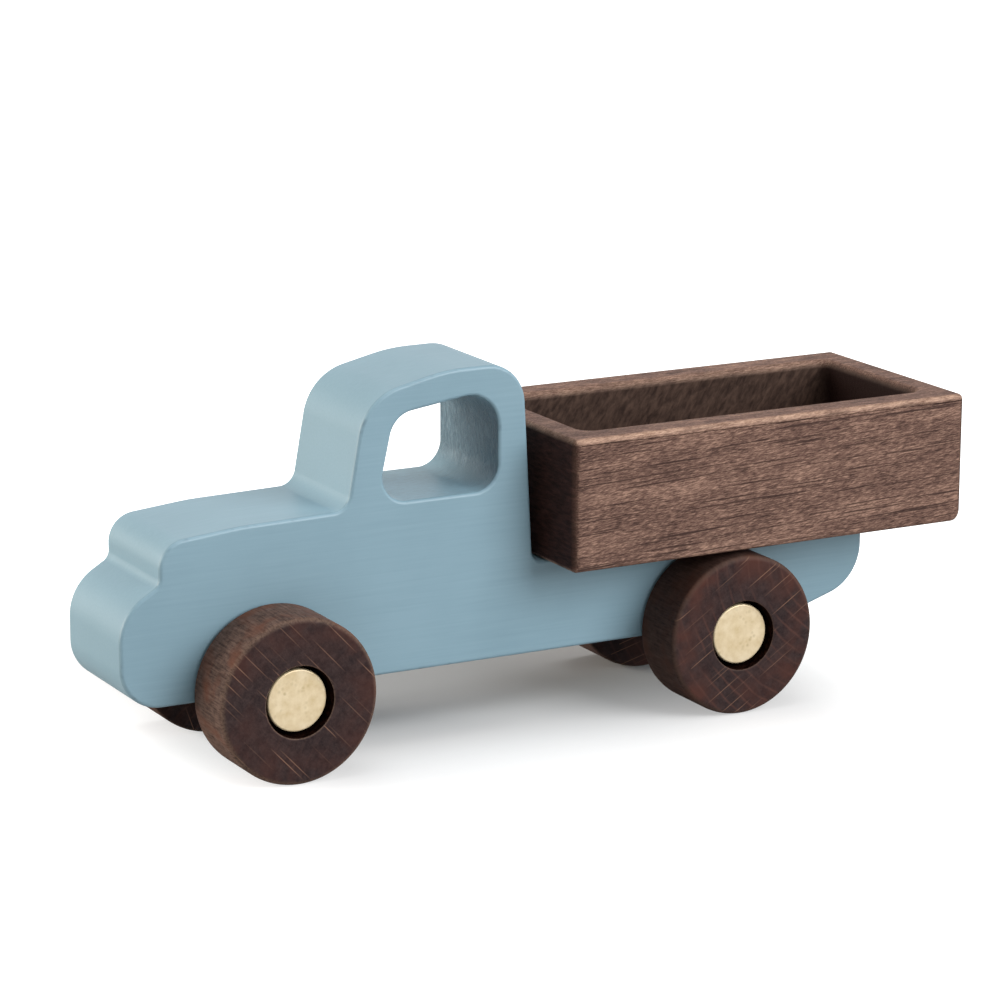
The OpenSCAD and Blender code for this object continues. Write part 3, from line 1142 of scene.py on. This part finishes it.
    def build(self) -> bpy.types.Object:
        """Builds the box and lets it stand for its CAD node.

        Returns:
            The box.
        """
        skin = Skin()
        self.pocket(skin, self.shell(skin))
        made = skin.build("hollow_load_box", self.finish)
        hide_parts("tipper_box")
        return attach(made, "load_box")


@dataclass
class WheelSet:
    """One wheel and the peg that it turns on."""

    axle: Axle
    side: Side
    axle_x: float
    wood: bpy.types.Material
    drilled: bpy.types.Material
    gold: bpy.types.Material
    axle_z: float = 17.5
    radius: float = 17.5
    inner_y: float = 14.0
    outer_y: float = 27.5
    edge_r: float = 1.2
    back_edge_r: float = 0.6
    bore_r: float = 2.9
    bore_edge_r: float = 0.3
    recess_r: float = 7.5
    recess_y: float = 22.7
    recess_margin: float = 0.2
    drilled_edge_r: float = 0.15
    mouth_r: float = 0.5
    shank_r: float = 2.8
    root_y: float = 2.0
    root_edge_r: float = 0.3
    neck_r: float = 0.2
    head_r: float = 6.6
    head_base_y: float = 23.0
    head_y: float = 26.0
    head_back_r: float = 0.25
    head_edge_r: float = 0.45
    segments: int = 128
    step_deg: float = 10.0
    peg_step_deg: float = 12.0

    @property
    def label(self) -> str:
        """The wheel's place, as in front_left."""
        return f"{self.axle.value}_{self.side.name.lower()}"

    def turned(
        self,
        profile: Sequence[RimPoint],
        arris_spans: Sequence[Span] = (),
        recess: Span = (0.0, 0.0),
    ) -> Skin:
        """Turns a profile about the axle.

        Args:
            profile: points whose u is the radius and v the distance from the truck's
                middle plane.
            arris_spans: ranges of radius whose slanted points count as an arris.
            recess: the radius inside which, and the distance past which, a point counts
                as rough-cut.

        Returns:
            The turned mesh.
        """
        skin = Skin()
        flip = self.side.value
        rings: list[list[int]] = []
        for point in profile:
            on_arris = any(low <= point.u <= high for low, high in arris_spans)
            marks = {
                "arris": 4 * point.nu**2 * point.nv**2 * on_arris,
                "end_grain": point.nv**2,
                "rough": float(point.u < recess[0] and point.v > recess[1]),
            }
            centre = Vector((self.axle_x, flip * point.v, self.axle_z))
            ring = []
            for k in range(self.segments if point.u else 1):
                angle = math.tau * k / self.segments
                spoke = Vector((math.cos(angle), 0.0, math.sin(angle)))
                normal = spoke * point.nu + Vector((0.0, flip * point.nv, 0.0))
                ring.append(skin.add(centre + spoke * point.u, normal, **marks))
            rings.append(ring)
        for inner, outer in zip(rings, rings[1:]):
            tip, rim = sorted((inner, outer), key=len)
            if len(tip) > 1:
                skin.bridge(inner, outer)
                continue
            for k in range(len(rim)):
                skin.faces.append((tip[0], rim[k], rim[(k + 1) % len(rim)]))
        return skin

    def build_wheel(self) -> bpy.types.Object:
        """Turns the wheel and lets it stand for its CAD node.

        Returns:
            The wheel, with its origin on its own centre.
        """
        profile = rounded(
            [
                Corner(self.bore_r, self.inner_y, self.bore_edge_r),
                Corner(self.radius, self.inner_y, self.back_edge_r),
                Corner(self.radius, self.outer_y, self.edge_r),
                Corner(self.recess_r, self.outer_y, self.mouth_r),
                Corner(self.recess_r, self.recess_y, self.drilled_edge_r),
                Corner(self.bore_r, self.recess_y, self.drilled_edge_r),
            ],
            self.step_deg,
        )
        skin = self.turned(
            [*profile, profile[0]],
            [
                (self.radius - self.edge_r, self.radius),
                (self.recess_r, self.recess_r + self.mouth_r),
            ],
            (self.recess_r + self.mouth_r / 4, self.recess_y - self.recess_margin),
        )
        middle_y = self.side.value * (self.inner_y + self.outer_y) / 2
        middle = Vector((self.axle_x, middle_y, self.axle_z))
        made = skin.build(f"turned_wheel_{self.label}", self.wood, middle * MM, self.drilled)
        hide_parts(f"wheel_{self.label}")
        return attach(made, f"{self.label}_wheel")

    def build_peg(self) -> bpy.types.Object:
        """Turns the peg and lets it stand for its CAD node.

        Returns:
            The peg.
        """
        profile = rounded(
            [
                Corner(0.0, self.root_y, 0.0),
                Corner(self.shank_r, self.root_y, self.root_edge_r),
                Corner(self.shank_r, self.head_base_y, self.neck_r),
                Corner(self.head_r, self.head_base_y, self.head_back_r),
                Corner(self.head_r, self.head_y, self.head_edge_r),
                Corner(0.0, self.head_y, 0.0),
            ],
            self.peg_step_deg,
            closed=False,
        )
        made = self.turned(profile).build(f"peg_with_gold_head_{self.label}", self.gold)
        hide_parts(f"peg_{self.label}")
        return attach(made, "truck")

    def build(self) -> list[bpy.types.Object]:
        """Builds the wheel and its peg."""
        return [self.build_wheel(), self.build_peg()]


@dataclass
class TippingHinge:
    """The brass butt hinge under the box's overhang, kept as its CAD nodes."""

    finish: bpy.types.Material
    edge_r: float = 0.12
    edge_from_deg: float = 35.0
    nodes: tuple[str, ...] = (
        "hinge_body_leaf",
        "hinge_box_leaf",
        "hinge_pin",
        "hinge_body_screws",
        "hinge_box_screws",
    )

    def build(self) -> list[bpy.types.Object]:
        """Dresses the hinge's nodes in brass and breaks their edges.

        Returns:
            The dressed nodes.
        """
        dressed = []
        for name in self.nodes:
            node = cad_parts[name]
            node.data.materials.clear()
            node.data.materials.append(self.finish)
            edge = node.modifiers.new("broken_edge", "BEVEL")
            edge.width = self.edge_r * MM
            edge.segments = 2
            edge.limit_method = "ANGLE"
            edge.angle_limit = math.radians(self.edge_from_deg)
            edge.harden_normals = True
            dressed.append(node)
        return dressed


# ---- Studio --------------------------------------------------------------------------


@dataclass(frozen=True)
class Softbox:
    """A square softbox: where it hangs, its size, power and colour. It faces the toy."""

    name: str
    place: Sizes
    side: float
    watts: float
    tint: str = "#ffffff"
    aim: Sizes = (0.0, 0.0, 0.03)

    def build(self) -> bpy.types.Object:
        """Hangs the softbox.

        Returns:
            The light.
        """
        lamp = bpy.data.lights.new(self.name, "AREA")
        lamp.shape = "SQUARE"
        lamp.size = self.side
        lamp.energy = self.watts
        lamp.color = linear(self.tint)[:3]
        made = new_object(self.name, lamp)
        made.location = self.place
        look = Vector(self.aim) - Vector(self.place)
        made.rotation_mode = "QUATERNION"
        made.rotation_quaternion = look.to_track_quat("-Z", "Y")
        return made


@dataclass
class Studio:
    """Floor, backdrop, lights and camera."""

    floor_half: float = 4.0
    floor_white: str = "#bfbfbf"
    shade_y: float = -0.028
    shade_half_length: float = 0.050
    shade_half_width: float = 0.008
    shade_squeeze: float = 3.0
    glows: tuple[Sizes, ...] = ((0.0, 0.065, 0.56), (0.05, 0.14, 0.6))
    ambient: float = 0.24
    softboxes: tuple[Softbox, ...] = (
        Softbox("main_softbox", (-0.98, 1.60, 1.02), 1.5, 47.0),
        Softbox("top_softbox", (0.1, -0.1, 1.9), 1.2, 10.0),
        Softbox("nose_softbox", (1.39, -0.72, 0.36), 1.0, 29.5, "#fff7ec"),
    )
    aim_mm: Sizes = (3.78, 0.0, 46.54)
    azimuth_deg: float = 151.466
    elevation_deg: float = 13.884
    roll_deg: float = 0.163
    distance_mm: float = 814.3
    lens_mm: float = 137.6
    sensor_mm: float = 36.0
    seen_m: Span = (0.05, 30.0)

    def build_floor(self) -> bpy.types.Object:
        """Lays the white floor, which glows for the camera alone, away from the truck.

        Returns:
            The floor, marked as stage.
        """
        made, add, place = new_material("seamless_white_paper")
        # White paper: even and matt. The glow carries on its white away from the truck,
        # and leaves the shade under it as the lamps make it.
        for operation, operand in (
            ("SUBTRACT", (0.0, self.shade_y, 0.0)),
            ("ABSOLUTE", (0.0, 0.0, 0.0)),
            ("SUBTRACT", (self.shade_half_length, self.shade_half_width, 0.0)),
            ("MAXIMUM", (0.0, 0.0, 0.0)),
            ("MULTIPLY", (self.shade_squeeze, 1.0, 0.0)),
        ):
            place = add("VectorMath", place, operand, operation=operation)
        reach = add("VectorMath", place, operation="LENGTH")
        inner, outer = (
            add("MapRange", reach, start, stop, 0.0, strength, interpolation_type="SMOOTHSTEP")
            for start, stop, strength in self.glows
        )
        level = add("Math", inner, outer, operation="ADD")
        rays = add("LightPath").outputs
        seen = add("Math", rays["Is Camera Ray"], rays["Is Transmission Ray"], operation="MAXIMUM")
        strength = add("Math", seen, level, operation="MULTIPLY")
        paper = add("BsdfDiffuse", Color=self.floor_white)
        add("OutputMaterial", add("AddShader", paper, add("Emission", Strength=strength)))
        half = self.floor_half
        corners = [(-half, -half, 0), (half, -half, 0), (half, half, 0), (-half, half, 0)]
        mesh = bpy.data.meshes.new("paper_floor")
        mesh.from_pydata(corners, [], [(0, 1, 2, 3)])
        mesh.materials.append(made)
        floor = new_object("paper_floor", mesh)
        return floor

    def build_world(self) -> None:
        """Makes the world: white behind the object, and an even grey light on it."""
        world = bpy.data.worlds.new("white_studio")
        bpy.context.scene.world = world
        world.use_nodes = True
        world.node_tree.nodes.clear()
        add = partial(add_node, world.node_tree)
        rays = add("LightPath").outputs
        seen = rays["Is Camera Ray"]
        for other in ("Is Glossy Ray", "Is Transmission Ray"):
            seen = add("Math", seen, rays[other], operation="MAXIMUM")
        strength = add("MapRange", seen, 0.0, 1.0, self.ambient, 1.0)
        add("OutputWorld", add("Background", "#ffffff", strength))

    def build_camera(self) -> bpy.types.Object:
        """Sets the camera up and makes it the scene's own.

        Returns:
            The camera.
        """
        lens = bpy.data.cameras.new("studio_camera")
        lens.lens = self.lens_mm
        lens.sensor_width = self.sensor_mm
        lens.clip_start, lens.clip_end = self.seen_m
        camera = new_object("studio_camera", lens)
        around, up = math.radians(self.azimuth_deg), math.radians(self.elevation_deg)
        back = Vector(
            (math.sin(around) * math.cos(up), -math.cos(around) * math.cos(up), math.sin(up))
        )
        camera.rotation_mode = "QUATERNION"
        roll = Quaternion((0.0, 0.0, 1.0), math.radians(self.roll_deg))
        camera.rotation_quaternion = (-back).to_track_quat("-Z", "Y") @ roll
        camera.location = (Vector(self.aim_mm) + back * self.distance_mm) * MM
        bpy.context.scene.camera = camera
        return camera

    def build(self) -> None:
        """Builds the whole studio."""
        self.build_floor()
        self.build_world()
        for softbox in self.softboxes:
            softbox.build()
        self.build_camera()


def main() -> None:
    """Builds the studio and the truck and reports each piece."""
    logging.basicConfig(level=logging.INFO, format="%(name)s: %(message)s")
    bpy.context.scene.view_settings.view_transform = "Standard"
    Studio().build()

    pieces = [
        PlankBody(ChalkPaint().build()).build(),
        HollowBox(StainedBeech().build()).build(),
    ]
    drilled, gold = DrilledEndGrain().build(), GoldPaint().build()
    # Per wheel: the rays' angle, rings, warmth, how pale the edge is painted (partly a painted
    # highlight), how dark the tread is painted (partly painted shade, most on the rear wheels
    # under the box) and a seed.
    for axle, side, axle_x, ray_angle, rings, warmth, edge_rub_and_highlight, tread_soak_and_shade, seed in (
        (Axle.FRONT, Side.LEFT, 64.3, 47.0, 0.08, 0.5, 0.5, 0.0, 0.0311),
        (Axle.REAR, Side.LEFT, -40.7, -33.0, 0.5, 0.9, 0.15, 0.6, 0.0742),
        (Axle.FRONT, Side.RIGHT, 64.3, 71.0, 0.3, 0.7, 0.4, 0.3, 0.0129),
        (Axle.REAR, Side.RIGHT, -40.7, -15.0, 0.35, 0.8, 0.3, 0.5, 0.0587),
    ):
        name = f"stained_end_grain_{axle.value}_{side.name.lower()}"
        look = (ray_angle, rings, warmth, edge_rub_and_highlight, tread_soak_and_shade, seed)
        wood = StainedEndGrain(name, *look).build()
        pieces += WheelSet(axle, side, axle_x, wood, drilled, gold).build()
    pieces += TippingHinge(RolledBrass().build()).build()

    for piece in pieces:
        log.info("%s: %d faces", piece.name, len(piece.data.polygons))


if __name__ == "__main__":
    main()
